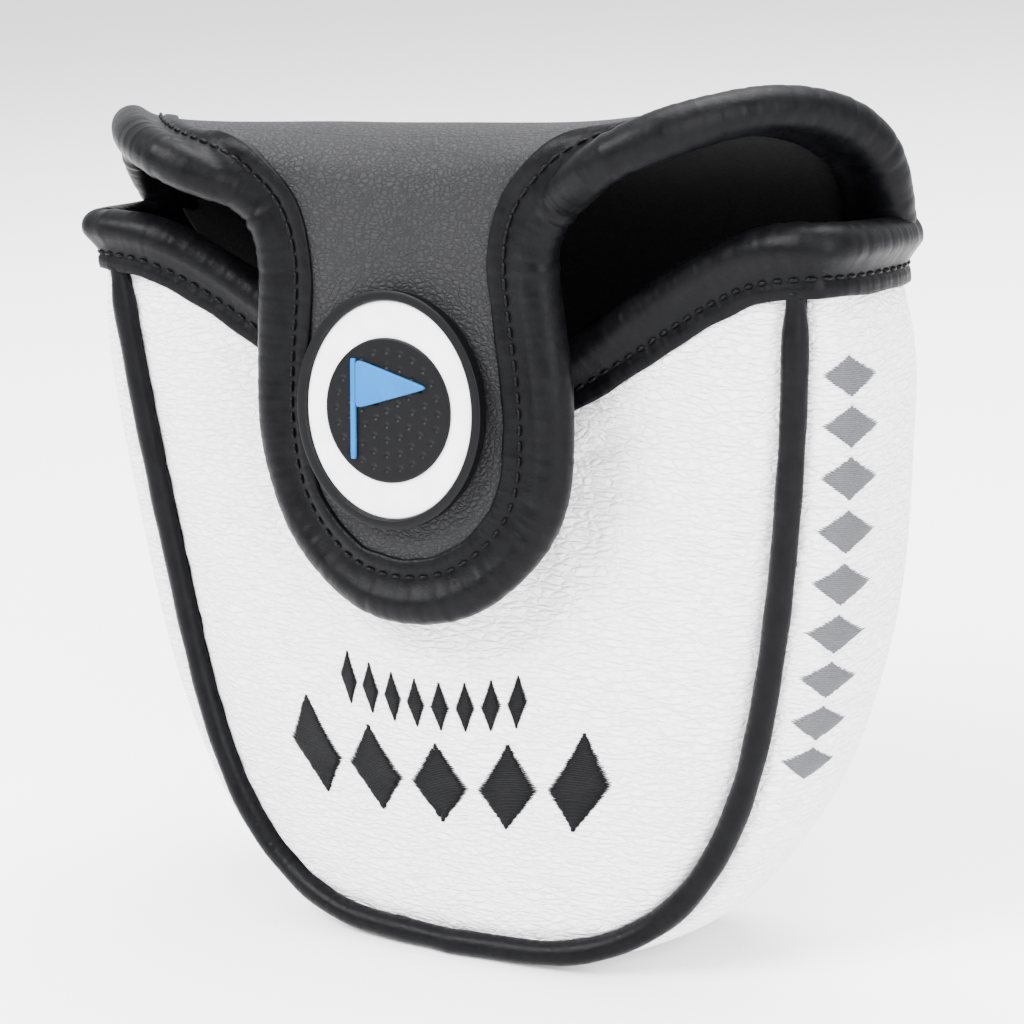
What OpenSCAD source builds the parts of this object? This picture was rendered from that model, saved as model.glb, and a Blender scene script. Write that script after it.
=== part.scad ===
// Mallet putter head cover: a padded pocket with a fold-over flap.
// +Z is up, the front faces -Y, and the origin is under the middle of the base.
// Every panel is three layers (cover, padding, lining), sewn to its neighbours at piped seams.

/* [Pocket] */
// Half width of the front seam at its upper ends
seam_half_w = 63.1; // [60:0.1:66]
// Height from the bottom of the seams to their upper ends
seam_h = 115.3; // [110:0.1:120]
// How much wider the back seam is on each side at the top
back_flare = 3; // [1:0.5:5]
// How much lower the back seam's upper ends are than the front seam's
back_drop = 2.4; // [1:0.2:3]
// Depth from the front seam to the back seam at the base
base_depth = 26.4; // [24:0.2:30]
// How far the sides of the front seam sweep back from its bottom
front_sweep = 8.6; // [6:0.2:11]
// How far the sides of the back seam sweep back from its bottom
back_sweep = 11; // [8:0.2:13]
// How far the gusset stands out beyond the seams at mid height
side_bulge = 11.5; // [9:0.5:13]

/* [Mouth] */
// How far the front lip dips under the flap
lip_dip = 27.5; // [22:0.5:30]
// How far the front lip sinks inward beside the flap
lip_sink = 5; // [3:0.5:6]
// Radius of the padded binding
binding_r = 3.6; // [3:0.1:3.8]

/* [Layers] */
// Thickness of the outer leather
cover_t = 1.2; // [1:0.1:1.4]
// Thickness of the padding
foam_t = 2.4; // [2:0.1:2.6]
// Thickness of the plush lining
lining_t = 0.8; // [0.6:0.1:1]
// Radius of the piping along the seams
piping_r = 2.1; // [1.8:0.1:2.3]

/* [Badge and magnets] */
// Half width of the oval badge
badge_rx = 17; // [15:0.5:17.5]
// Half height of the oval badge
badge_ry = 19; // [17:0.5:19.5]
// How far the badge rim stands out from the leather
badge_t = 2.5; // [2:0.1:3]
// Radius of each closure magnet
magnet_r = 5; // [4:0.5:6]

/* [Hidden] */
wall_t = cover_t + foam_t + lining_t;
seam_inset = piping_r + 0.3;       // a panel stops this far short of the piping's centre line
binding_gap = 0.35;                // free space between a panel's edge and its binding
core_r = binding_r - 0.9;          // foam cord inside the binding
cord_r = piping_r - 0.7;           // filler cord inside the piping
base_z = piping_r;                 // height of the seams' lowest point
front_y = -16.78;                  // the front seam's lowest point
back_y = front_y + base_depth;     // the back seam's lowest point
fold_clear = 0.036;                // free space on each side of a fold line, in flap rows of about 7 mm
magnet_t = 1.1;                    // thickness of each magnet
step = 0.002;                      // parameter step for finite differences

// Seam outline from bottom centre to upper end: width, height and sweep, each as a fraction
seam_outline = [
    [0, 0, 0], [0.34, 0.0102, 0.14], [0.565, 0.059, 0.5], [0.721, 0.153, 0.73],
    [0.832, 0.297, 0.95], [0.91, 0.508, 1.08], [0.969, 0.763, 1.05], [1, 1, 0.95]
];
first_row = 0.19;                  // seam parameter where the flat bottom ends

// Middle line of the front panel and of the back panel: height fraction and Y
front_middle = [[0, -16.78], [0.22, -16.38], [0.36, -17.38], [0.52, -17.88], [0.68, -16.68], [0.84, -13.88], [1, -11.88]];
back_middle = [[0, 9.62], [0.12, 13.12], [0.3, 18.62], [0.52, 23.62], [0.75, 25.62], [1, 25.82]];

// Flap outline from the back panel's top edge over the folds to the tip.
// Each row: edge X, edge Y, edge Z, middle Y, middle Z
flap_rows = [
    [63.8, 19.82, 115.4, 25.82, 113.4],
    [66.0, 17.82, 122.2, 25.42, 121.6],
    [66.6, 15.22, 128.8, 20.82, 130.4],
    [65.4, 11.42, 134.8, 11.42, 135.6],
    [61.8, 5.62, 139.6, 6.02, 137.3],
    [57.0, -0.78, 141.8, 0.82, 137.8],
    [51.8, -7.98, 142.3, -4.98, 137.4],
    [45.5, -15.18, 140.9, -9.98, 136.2],
    [37.2, -18.38, 138.5, -13.38, 134.6],
    [29.6, -18.78, 135.4, -15.68, 132.8],
    [23.8, -17.58, 130.4, -16.98, 130.4],
    [20.6, -17.78, 126.0, -17.18, 126.0],
    [19.3, -17.88, 120.5, -17.38, 120.5],
    [19.4, -17.98, 115.2, -17.58, 115.0],
    [20.2, -18.18, 109.0, -17.98, 108.6],
    [21.3, -18.88, 101.0, -18.78, 100.5],
    [21.8, -19.38, 92.5, -19.88, 92.0],
    [21.4, -19.88, 84.5, -20.98, 83.8],
    [18.7, -20.58, 77.0, -22.18, 76.0],
    [11.5, -22.38, 71.0, -23.68, 68.3]
];
flap_last = len(flap_rows) - 1;
rear_fold = 3;                     // flap row on the rear fold line
front_fold = 10;                   // flap row on the front fold line

// ---- Small helpers ----

function clamp01(x) = min(max(x, 0), 1);
function smooth(x) = let (c = clamp01(x)) c * c * (3 - 2 * c);
function unit(v) = v / norm(v);
function column(rows, i) = [for (r = rows) r[i]];

// Catmull-Rom curve through the rows of P, with t running from 0 to 1
function spline(P, t) =
    let (
        last = len(P) - 1,
        q = clamp01(t) * last,
        i = min(floor(q), last - 1),
        f = q - i,
        b = P[i],
        c = P[i + 1],
        a = i > 0 ? P[i - 1] : 2 * b - c,
        d = i < last - 1 ? P[i + 2] : 2 * c - b
    )
    0.5 * (2 * b + (c - a) * f + (2 * a - 5 * b + 4 * c - d) * f * f + (3 * b - a - 3 * c + d) * f * f * f);

// Height of a curve given as [position, value] rows
function profile(rows, x) = spline(column(rows, 1), lookup(x, [for (i = [0 : len(rows) - 1]) [rows[i][0], i / (len(rows) - 1)]]));

// ---- Seams: t runs from -1 (left end) through 0 (bottom) to 1 (right end) ----

function front_seam(t) =
    let (s = spline(seam_outline, abs(t)))
    [sign(t) * seam_half_w * s[0], front_y + front_sweep * s[2], base_z + seam_h * s[1]];

function back_seam(t) =
    let (s = spline(seam_outline, abs(t)))
    [sign(t) * (seam_half_w + back_flare * smooth(s[1] / 0.6)) * s[0], back_y + back_sweep * s[2], base_z + (seam_h - back_drop) * s[1]];

// Direction out of the outline, in the upright plane
function seam_out(t) =
    let (d = front_seam(min(t + step, 1)) - front_seam(max(t - step, -1)))
    unit([d[2], 0, -d[0]]);

function seam_height(t) = (front_seam(t)[2] - base_z) / seam_h;

// ---- Panels: u runs from side to side (-1 to 1), v from bottom to top (0 to 1) ----

// Row of a U-shaped panel: its edge point and its flat-bottomed height
function panel_edge(seam_point, t, inset) = seam_point - seam_out(t) * inset;
function bottom_dip(edge_z, inset, u, v) = (edge_z - base_z - inset) * (1 - u * u) * pow(1 - v, 6);

function front_surface(u, v, depth) =
    let (
        t = first_row + (1 - first_row) * v,
        inset = seam_inset + depth,
        edge = panel_edge(front_seam(t), t, inset),
        middle_y = profile(front_middle, (edge[2] - base_z) / seam_h),
        a = abs(u),
        drop = lip_dip * pow(cos(90 * a), 1.55) * smooth((v - 0.25) / 0.75),
        sink = lip_sink * pow(sin(180 * a), 1.5) * smooth((v - 0.45) / 0.55)
    )
    [u * edge[0],
     edge[1] + (middle_y - edge[1]) * (1 - pow(a, 2.4)) + sink,
     edge[2] - bottom_dip(edge[2], inset, u, v) - drop];

back_mitre = 0.35;                 // how far the back's inner layers step in from the seam, per mm of depth
function back_surface(u, v, depth) =
    let (
        t = first_row + (1 - first_row) * v,
        inset = seam_inset + depth * back_mitre,
        edge = panel_edge(back_seam(t), t, inset),
        middle_y = profile(back_middle, (edge[2] - base_z) / seam_h),
        a = abs(u)
    )
    [u * edge[0],
     edge[1] + (middle_y - edge[1]) * (1 - pow(a, 2.4)),
     edge[2] - bottom_dip(edge[2], inset, u, v) - 2.4 * (1 - a * a) * pow(v, 3)];

// The flap: row runs over flap_rows, from the back panel's top edge to the tip
function flap_surface(u, row) =
    let (r = spline(flap_rows, row / flap_last))
    [u * r[0], r[3] + (r[1] - r[3]) * u * u, r[4] + (r[2] - r[4]) * u * u];

// The back piece: the lower share of v is the panel, the rest the ears up to the rear fold
ear_share = 0.3;
function back_piece(u, v, depth) =
    v < 1 - ear_share
    ? let (
        w = v / (1 - ear_share),
        low = back_surface(u, w, depth),
        top = flap_surface(u, 0),
        under = back_surface(u, 1, depth)
    ) low + (top - under) * pow(w, 4)
    : flap_surface(u, (v - 1 + ear_share) / ear_share * (rear_fold - fold_clear));

// The gusset: u runs round the outline (-1 to 1), v from the front seam to the back seam (0 to 1).
// It leaves each seam outward and turns over, as a superellipse.
function gusset_stand(h) =
    lookup(h, [[0, 2.7], [0.12, 0.6 * side_bulge], [0.45, side_bulge], [0.85, 0.82 * side_bulge], [1, 0.55 * side_bulge]]);
roundness = 2.8;

function gusset_surface(u, v, depth) =
    let (
        f = front_seam(u),
        b = back_seam(u),
        stand = gusset_stand(seam_height(u)),
        start = asin(pow(min(seam_inset / stand, 0.95), roundness / 2)),
        angle = start + v * (180 - 2 * start),
        w = (1 - sign(cos(angle)) * pow(abs(cos(angle)), 2 / roundness)) / 2
    )
    f + (b - f) * w + seam_out(u) * stand * pow(sin(angle), 2 / roundness);

function bridge_surface(u, v) =
    flap_surface(u, rear_fold + fold_clear + v * (front_fold - rear_fold - 2 * fold_clear));
function tongue_surface(u, v) =
    flap_surface(u, front_fold + fold_clear + v * (flap_last - front_fold - fold_clear));

// ---- Turning a surface into layers ----

// Outward normal, where side is 1 or -1 to face away from the inside. It is averaged over reach, in u and v.
function surface_normal(f, u, v, depth, side, reach = [step, step], ends = [0, 1]) =
    let (
        du = f(min(u + reach[0], 1), v, depth) - f(max(u - reach[0], -1), v, depth),
        dv = f(u, min(v + reach[1], ends[1]), depth) - f(u, max(v - reach[1], ends[0]), depth)
    )
    side * unit(cross(du, dv));

// A layer's normals are averaged over some distance, so that the inner layers don't fold over at tight bends.
// ends is how far the surface goes on in v: past 0 or 1 where the next panel continues it.
side_reach = 0.15;
wall_reach = [side_reach, 0.15];
wall_ends = [0, 1];
fold_rows = 2.6;                   // the same distance along the flap, in rows, on both sides of a fold
back_reach = [side_reach, fold_rows * ear_share / rear_fold];
back_ends = [0, 2];
bridge_reach = [side_reach, fold_rows / (front_fold - rear_fold)];
bridge_ends = [-1, 2];
tongue_reach = [side_reach, fold_rows / (flap_last - front_fold)];
tongue_ends = [-1, 1];

function layer_point(f, u, v, depth, side, reach, ends) =
    f(u, v, depth) - surface_normal(f, u, v, depth, side, reach, ends) * depth;

// Closed shell between two depths under a surface, on a grid of nu by nv cells
module layer(f, nu, nv, depth0, depth1, side, reach = wall_reach, ends = wall_ends) {
    row = nu + 1;
    count = row * (nv + 1);
    points = [
        for (depth = [depth0, depth1])
            for (j = [0 : nv])
                for (i = [0 : nu])
                    layer_point(f, 2 * i / nu - 1, j / nv, depth, side, reach, ends)
    ];
    cells = [for (j = [0 : nv - 1]) for (i = [0 : nu - 1]) j * row + i];
    outer = [for (k = cells) each [[k, k + 1, k + row + 1], [k, k + row + 1, k + row]]];
    inner = [for (t = outer) [t[2] + count, t[1] + count, t[0] + count]];
    rim = concat(
        [for (i = [0 : nu]) i],
        [for (j = [1 : nv]) j * row + nu],
        [for (i = [nu - 1 : -1 : 0]) nv * row + i],
        [for (j = [nv - 1 : -1 : 1]) j * row]
    );
    edges = [
        for (k = [0 : len(rim) - 1])
            let (a = rim[k], b = rim[(k + 1) % len(rim)])
                each [[b, a, a + count], [b, a + count, b + count]]
    ];
    faces = concat(outer, inner, edges);
    // The face order that looks clockwise from outside depends on which way the surface faces
    polyhedron(points, side > 0 ? [for (t = faces) [t[2], t[1], t[0]]] : faces);
}

// ---- Tubes along a path ----

function path_direction(path, i) = unit(path[min(i + 1, len(path) - 1)] - path[max(i - 1, 0)]);

function ring(path, i, r, sides, up) =
    let (
        d = path_direction(path, i),
        a = unit(cross(d, up)),
        b = cross(a, d)
    )
    [for (k = [0 : sides - 1]) path[i] + r * (cos(360 * k / sides) * a + sin(360 * k / sides) * b)];

module solid_tube(path, r, sides, up) {
    n = len(path);
    points = [for (i = [0 : n - 1]) each ring(path, i, r, sides, up)];
    walls = [
        for (i = [0 : n - 2])
            for (k = [0 : sides - 1])
                let (a = i * sides + k, b = i * sides + (k + 1) % sides)
                    each [[a, b, b + sides], [a, b + sides, a + sides]]
    ];
    start = [for (k = [1 : sides - 2]) [0, k + 1, k]];
    end = [for (k = [1 : sides - 2]) [(n - 1) * sides, (n - 1) * sides + k, (n - 1) * sides + k + 1]];
    polyhedron(points, concat(walls, start, end));
}

module hollow_tube(path, r_out, r_in, sides, up) {
    n = len(path);
    shift = n * sides;
    points = concat(
        [for (i = [0 : n - 1]) each ring(path, i, r_out, sides, up)],
        [for (i = [0 : n - 1]) each ring(path, i, r_in, sides, up)]
    );
    walls = [
        for (i = [0 : n - 2])
            for (k = [0 : sides - 1])
                let (a = i * sides + k, b = i * sides + (k + 1) % sides)
                    each [
                        [a, b, b + sides], [a, b + sides, a + sides],
                        [b + shift, a + shift, b + sides + shift], [b + sides + shift, a + shift, a + sides + shift]
                    ]
    ];
    caps = [
        for (k = [0 : sides - 1])
            let (a = k, b = (k + 1) % sides, c = (n - 1) * sides + k, d = (n - 1) * sides + (k + 1) % sides)
                each [[b, a, a + shift], [b, a + shift, b + shift], [c, d, d + shift], [c, d + shift, c + shift]]
    ];
    polyhedron(points, concat(walls, caps));
}

// ---- Binding paths ----

// Middle of the binding beside a panel's edge, raised outward by lift.
// top is true on an edge that runs across at v = 1.
function binding_point(f, u, v, side, top, lift) =
    let (
        du = f(min(u + step, 1), v, 0) - f(max(u - step, -1), v, 0),
        dv = f(u, min(v + step, 1), 0) - f(u, max(v - step, 0), 0),
        n = surface_normal(f, u, v, 0, side),
        across = unit(cross(top ? du : dv, n)),
        away = top ? dv : sign(u) * du
    )
    f(u, v, 0) + sign(across * away) * across * (binding_r + binding_gap) + n * lift;

function reversed(points) = [for (i = [len(points) - 1 : -1 : 0]) points[i]];
function flipped(points) = [for (p = points) [-p[0], p[1], p[2]]];
function resample(points, n) = [for (i = [0 : n]) spline(points, i / n)];

gusset_f = function(u, v, d) gusset_surface(u, v, d);
front_f = function(u, v, d) front_surface(u, v, d);
back_f = function(u, v, d) back_piece(u, v, d);
// The flap's inner layers are cut a little narrower, clear of the binding
inner_trim = 0.01;                 // share of the width cut away per mm of depth
function trimmed(u, depth) = u * (1 - inner_trim * depth);
bridge_f = function(u, v, d) bridge_surface(trimmed(u, d), v);
tongue_f = function(u, v, d) tongue_surface(trimmed(u, d), v);

lip_lift = -0.8;
flap_lift = -wall_t / 2;           // the flap's binding is centred on its thickness

lip_half = [for (u = [0.14 : 0.157 : 0.94]) binding_point(front_f, u, 1, 1, true, lip_lift)];
corner_half = [for (v = [0.12, 0.3, 0.5, 0.68, 0.8]) binding_point(gusset_f, 1, v, -1, false, 0)];
mouth_half = concat(lip_half, corner_half);
mouth_path = resample(concat(reversed(flipped(mouth_half)), [binding_point(front_f, 0, 1, 1, true, lip_lift)], mouth_half), 44);

// Share of the back piece's v range at which the ear binding starts; it ends at the rear fold
ear_from = 0.9;
binding_split = 0.02;              // how far the bridge's binding stops short of the folds, as a share of its length
ear_path = [for (i = [0 : 5]) binding_point(back_f, 1, ear_from + (1 - ear_from) * i / 5, -1, false, flap_lift)];
bridge_path = [for (i = [0 : 16]) binding_point(bridge_f, 1, binding_split + (1 - 2 * binding_split) * i / 16, -1, false, flap_lift)];
tongue_side = [for (i = [0 : 9]) binding_point(tongue_f, 1, 0.94 * i / 9, -1, false, flap_lift)];
tongue_tip = [for (u = [0.9, 0.45]) binding_point(tongue_f, u, 1, -1, true, flap_lift)];
tongue_half = concat(tongue_side, tongue_tip);
tongue_path = resample(concat(flipped(tongue_half), [binding_point(tongue_f, 0, 1, -1, true, flap_lift)], reversed(tongue_half)), 32);

// A point on a surface, raised outward by lift
function raised_point(f, u, v, side, lift) = f(u, v, 0) + surface_normal(f, u, v, 0, side) * lift;

// ---- Colours ----

white_leather = [0.93, 0.93, 0.92];
grey_leather = [0.36, 0.36, 0.38];
black_leather = [0.07, 0.07, 0.08];
padding = [0.85, 0.82, 0.7];
plush = [0.03, 0.03, 0.03];
thread = [0.05, 0.05, 0.05];
grey_thread = [0.55, 0.56, 0.57];
steel = [0.75, 0.75, 0.77];
badge_white = [0.95, 0.95, 0.95];
badge_black = [0.1, 0.1, 0.11];
badge_blue = [0.1, 0.55, 0.9];

// ---- Pocket panels ----

module front_layer(depth0, depth1) layer(front_f, 16, 12, depth0, depth1, 1);
module back_layer(depth0, depth1) layer(back_f, 14, 16, depth0, depth1, -1, back_reach, back_ends);
module gusset_layer(depth0, depth1) layer(gusset_f, 36, 8, depth0, depth1, -1);

module front_panel() color(white_leather) front_layer(0, cover_t);
module front_lining() color(plush) front_layer(cover_t + foam_t, wall_t);
module back_panel() color(grey_leather) back_layer(0, cover_t);
module back_foam() color(padding) back_layer(cover_t, cover_t + foam_t);
module back_lining() color(plush) back_layer(cover_t + foam_t, wall_t);
module gusset_foam() color(padding) gusset_layer(cover_t, cover_t + foam_t);
module gusset_lining() color(plush) gusset_layer(cover_t + foam_t, wall_t);

// The gusset's cover is pressed flat where the base stands
module gusset_panel() color(white_leather)
    difference() {
        gusset_layer(0, cover_t);
        translate([-40, front_y - 10, -10]) cube([80, base_depth + 40, 10]);
    }

// ---- Magnets, each in a pocket cut in the padding ----

// Moves a disc so that it lies along the wall at a point of a surface, centred in the padding
module in_padding(f, u, v, side) {
    n = surface_normal(f, u, v, 0, side);
    translate(f(u, v, 0) - n * (cover_t + foam_t / 2))
        rotate([atan2(-n[1], n[2]), 0, 0])
            children();
}

module magnet_disc() cylinder(r = magnet_r, h = magnet_t, center = true, $fn = 48);
magnet_play = 0.6;                 // free space round a magnet
module magnet_hole() cylinder(r = magnet_r + magnet_play, h = 3 * foam_t, center = true, $fn = 48);

pocket_magnet_v = 0.92;
flap_magnet_v = 0.84;

module front_foam() color(padding)
    difference() {
        front_layer(cover_t, cover_t + foam_t);
        in_padding(front_f, 0, pocket_magnet_v, 1) magnet_hole();
    }
module pocket_magnet() color(steel) in_padding(front_f, 0, pocket_magnet_v, 1) magnet_disc();
module flap_magnet() color(steel) in_padding(tongue_f, 0, flap_magnet_v, -1) magnet_disc();

// ---- Piping ----

piping_rings = 44;
front_piping_path = [for (i = [0 : piping_rings]) front_seam(0.985 * (2 * i / piping_rings - 1))];
back_piping_path = [for (i = [0 : piping_rings]) back_seam(0.985 * (2 * i / piping_rings - 1))];
forward = [0, -1, 0];

module front_piping() color(black_leather) hollow_tube(front_piping_path, piping_r, cord_r, 8, forward);
module front_piping_cord() color(padding) solid_tube(front_piping_path, cord_r, 8, forward);
module back_piping() color(black_leather) hollow_tube(back_piping_path, piping_r, cord_r, 8, forward);
module back_piping_cord() color(padding) solid_tube(back_piping_path, cord_r, 8, forward);

// ---- Bindings ----

binding_sides = 8;
binding_play = 0.05;               // free space between the binding and the bridge's inner layers
upward = [0, 0, 1];
slanted = unit([0, -0.7, 0.7]);

module on_both_sides() {
    children();
    mirror([1, 0, 0]) children();
}

module mouth_binding() color(black_leather) hollow_tube(mouth_path, binding_r, core_r, binding_sides, upward);
module mouth_binding_core() color(padding) solid_tube(mouth_path, core_r, binding_sides, upward);
module ear_bindings() color(black_leather)
    on_both_sides() hollow_tube(ear_path, binding_r, core_r, binding_sides, slanted);
module ear_binding_cores() color(padding)
    on_both_sides() solid_tube(ear_path, core_r, binding_sides, slanted);
module bridge_bindings() color(black_leather)
    on_both_sides() hollow_tube(bridge_path, binding_r, core_r, binding_sides, slanted);
module bridge_binding_cores() color(padding)
    on_both_sides() solid_tube(bridge_path, core_r, binding_sides, slanted);
module tongue_binding() color(black_leather) hollow_tube(tongue_path, binding_r, core_r, binding_sides, forward);
module tongue_binding_core() color(padding) solid_tube(tongue_path, core_r, binding_sides, forward);

// ---- Stitching: a lockstitch row beside each binding, drawn as one fine cord ----

stitch_r = 0.35;
stitch_lift = 0.5;

mouth_stitch_path = [
    for (i = [-20 : 20]) raised_point(front_f, i / 21, 0.985, 1, stitch_lift)
];
bridge_stitch_path = [for (i = [0 : 12]) raised_point(bridge_f, 0.94, i / 12, -1, stitch_lift)];
tongue_stitch_half = concat(
    [for (i = [0 : 10]) raised_point(tongue_f, 0.92, 0.09 * i, -1, stitch_lift)],
    [raised_point(tongue_f, 0.72, 0.955, -1, stitch_lift), raised_point(tongue_f, 0.36, 0.965, -1, stitch_lift)]
);
tongue_stitch_path = concat(
    flipped(tongue_stitch_half), [raised_point(tongue_f, 0, 0.968, -1, stitch_lift)], reversed(tongue_stitch_half)
);

module mouth_stitching() color(thread) solid_tube(mouth_stitch_path, stitch_r, 6, upward);
module bridge_stitching() color(thread) on_both_sides() solid_tube(bridge_stitch_path, stitch_r, 6, slanted);
module tongue_stitching() color(thread) solid_tube(tongue_stitch_path, stitch_r, 6, forward);

// ---- Embroidery: raised satin lozenges in place of lettering ----

satin_t = 0.5;                     // thickness of the thread
satin_gap = 0.12;                  // free space under it, as the panels are faceted

// A lozenge on a surface, centred at (u0, v0), with half sizes (du, dv)
module lozenge(f, side, u0, v0, du, dv)
    layer(function(a, b, depth) f(u0 + du * (a + 2 * b - 1) / 2, v0 + dv * (2 * b - 1 - a) / 2, 0), 2, 2, -satin_gap - satin_t, -satin_gap, side);

// Evenly spaced lozenges from u0 to u1 at one height
module lozenge_row(count, u0, u1, v0, du, dv)
    for (i = [0 : count - 1])
        lozenge(front_f, 1, u0 + (u1 - u0) * i / (count - 1), v0, du, dv);

module small_embroidery() color(thread) lozenge_row(8, -0.3, 0.28, 0.637, 0.034, 0.042);
module large_embroidery() color(thread) lozenge_row(5, -0.49, 0.5, 0.475, 0.112, 0.095);
module side_embroidery() color(grey_thread)
    for (i = [0 : 8])
        lozenge(gusset_f, -1, 0.92 - 0.04 * i, 0.25, 0.016, 0.17);

// ---- Flap ----

module bridge_layer(depth0, depth1) layer(bridge_f, 14, 12, depth0, depth1, -1, bridge_reach, bridge_ends);
module tongue_layer(depth0, depth1) layer(tongue_f, 12, 11, depth0, depth1, -1, tongue_reach, tongue_ends);

// The bridge's inner layers are hollowed out along the binding, where the edge curls over it
module clear_of_binding()
    difference() {
        children();
        on_both_sides() solid_tube(bridge_path, binding_r + binding_play, binding_sides, slanted);
    }

module bridge_panel() color(grey_leather) bridge_layer(0, cover_t);
module bridge_foam() color(padding) clear_of_binding() bridge_layer(cover_t, cover_t + foam_t);
module bridge_lining() color(plush) clear_of_binding() bridge_layer(cover_t + foam_t, wall_t);
module tongue_panel() color(grey_leather) tongue_layer(0, cover_t);
module tongue_lining() color(plush) tongue_layer(cover_t + foam_t, wall_t);
module tongue_foam() color(padding)
    difference() {
        tongue_layer(cover_t, cover_t + foam_t);
        in_padding(tongue_f, 0, flap_magnet_v, -1) magnet_hole();
    }

// ---- Badge: an oval moulded base with a raised rim, a white field, a ball and a small flag ----

badge_v = 0.62;
badge_x = -1.1;
badge_gap = 0.75;                  // the leather is curved under the flat badge
rim_w = 1.7;
badge_floor = 0.9;                 // thickness of the base under the field
field_t = 0.9;
ball_r = 11.5;
ball_t = 0.5;

function oval(rx, ry) = [for (k = [0 : 63]) [rx * cos(360 * k / 64), ry * sin(360 * k / 64)]];

// Local frame on the tongue: Z points out of the leather, Y up the tongue
module on_badge() {
    n = surface_normal(tongue_f, 0, badge_v, 0, -1);
    translate(tongue_f(0, badge_v, 0) + n * badge_gap + [badge_x, 0, 0])
        rotate([atan2(-n[1], n[2]), 0, 0])
            children();
}

module badge_base() color(badge_black)
    on_badge() difference() {
        linear_extrude(badge_t) polygon(oval(badge_rx, badge_ry));
        translate([0, 0, badge_floor]) linear_extrude(badge_t) polygon(oval(badge_rx - rim_w, badge_ry - rim_w));
    }
module badge_field() color(badge_white)
    on_badge() translate([0, 0, badge_floor])
        linear_extrude(field_t) polygon(oval(badge_rx - rim_w - 0.05, badge_ry - rim_w - 0.05));
module badge_ball() color(badge_black)
    on_badge() translate([0, 0, badge_floor + field_t]) cylinder(r = ball_r, h = ball_t, $fn = 96);

// A pennant on a short staff, standing on the ball
module badge_flag() color(badge_blue)
    on_badge() translate([0, 0, badge_floor + field_t + ball_t])
        linear_extrude(0.6)
            union() {
                polygon([[-5.6, 8], [8, 4], [-5.6, 0]]);
                translate([-6.5, -8]) square([0.9, 16]);
            }

front_panel();
front_foam();
front_lining();
back_panel();
back_foam();
back_lining();
gusset_panel();
gusset_foam();
gusset_lining();
front_piping();
front_piping_cord();
back_piping();
back_piping_cord();
mouth_binding();
mouth_binding_core();
ear_bindings();
ear_binding_cores();
mouth_stitching();
pocket_magnet();
small_embroidery();
large_embroidery();
side_embroidery();
bridge_panel();
bridge_foam();
bridge_lining();
bridge_bindings();
bridge_binding_cores();
bridge_stitching();
tongue_panel();
tongue_foam();
tongue_lining();
tongue_binding();
tongue_binding_core();
tongue_stitching();
flap_magnet();
badge_base();
badge_field();
badge_ball();
badge_flag();
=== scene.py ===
"""Looks of the putter head cover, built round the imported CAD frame.

Lengths are in millimetres until a mesh is made.
"""

import math

import bpy
import numpy as np
from mathutils import Matrix, Vector


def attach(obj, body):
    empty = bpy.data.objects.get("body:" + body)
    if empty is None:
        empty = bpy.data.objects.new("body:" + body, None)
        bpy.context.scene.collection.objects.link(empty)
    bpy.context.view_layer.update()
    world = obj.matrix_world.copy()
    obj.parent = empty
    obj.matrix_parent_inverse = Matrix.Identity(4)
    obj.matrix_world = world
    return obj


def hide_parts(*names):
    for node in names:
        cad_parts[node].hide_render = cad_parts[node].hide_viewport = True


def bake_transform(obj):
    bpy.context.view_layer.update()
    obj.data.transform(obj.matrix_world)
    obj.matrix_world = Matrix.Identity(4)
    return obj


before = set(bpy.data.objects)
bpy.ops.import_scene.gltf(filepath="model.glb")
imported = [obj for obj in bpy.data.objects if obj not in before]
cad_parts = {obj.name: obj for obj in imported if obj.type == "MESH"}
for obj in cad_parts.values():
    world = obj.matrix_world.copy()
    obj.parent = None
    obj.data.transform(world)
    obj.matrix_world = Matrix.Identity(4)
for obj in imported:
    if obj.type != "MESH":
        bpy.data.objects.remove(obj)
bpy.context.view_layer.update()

MM = 0.001

# ---- Driving sizes in mm, the CAD model's own apart from SEAM_INSET ----

SEAM_HALF_W = 63.1
SEAM_H = 115.3
BACK_FLARE = 3.0
BACK_DROP = 2.4
BASE_DEPTH = 26.4
FRONT_SWEEP = 8.6
BACK_SWEEP = 11.0
SIDE_BULGE = 11.5
LIP_DIP = 27.5
LIP_SINK = 5.0
BINDING_R = 3.6
PAD_T = 3.6
WALL_T = 4.4
PIPING_R = 2.1
FRONT_Y = -16.78
BACK_Y = FRONT_Y + BASE_DEPTH
BASE_Z = PIPING_R
FIRST_ROW = 0.19
SEAM_INSET = 1.3            # the leather runs in under the piping, the CAD panels stop short
BINDING_GAP = 0.35
BACK_SHARE = 0.7
ROUNDNESS = 2.8
PANEL_CROWN = 2.4
BACK_TOP_DIP = 2.4

# Seam outline from bottom centre to upper end: width, height and sweep, each as a fraction
SEAM_OUTLINE = [
    [0, 0, 0], [0.34, 0.0102, 0.14], [0.565, 0.059, 0.5], [0.721, 0.153, 0.73],
    [0.832, 0.297, 0.95], [0.91, 0.508, 1.08], [0.969, 0.763, 1.05], [1, 1, 0.95],
]
# Middle line of the front panel and of the back panel: height fraction and Y
FRONT_MIDDLE = [
    [0, -16.78], [0.22, -16.38], [0.36, -17.38], [0.52, -17.88],
    [0.68, -16.68], [0.84, -13.88], [1, -11.88],
]
BACK_MIDDLE = [[0, 9.62], [0.12, 13.12], [0.3, 18.62], [0.52, 23.62], [0.75, 25.62], [1, 25.82]]
# How far the gusset stands out from its seams: height fraction and mm
GUSSET_STAND = [
    [0, 2.7], [0.12, 0.6 * SIDE_BULGE], [0.45, SIDE_BULGE],
    [0.85, 0.82 * SIDE_BULGE], [1, 0.55 * SIDE_BULGE],
]
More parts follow.
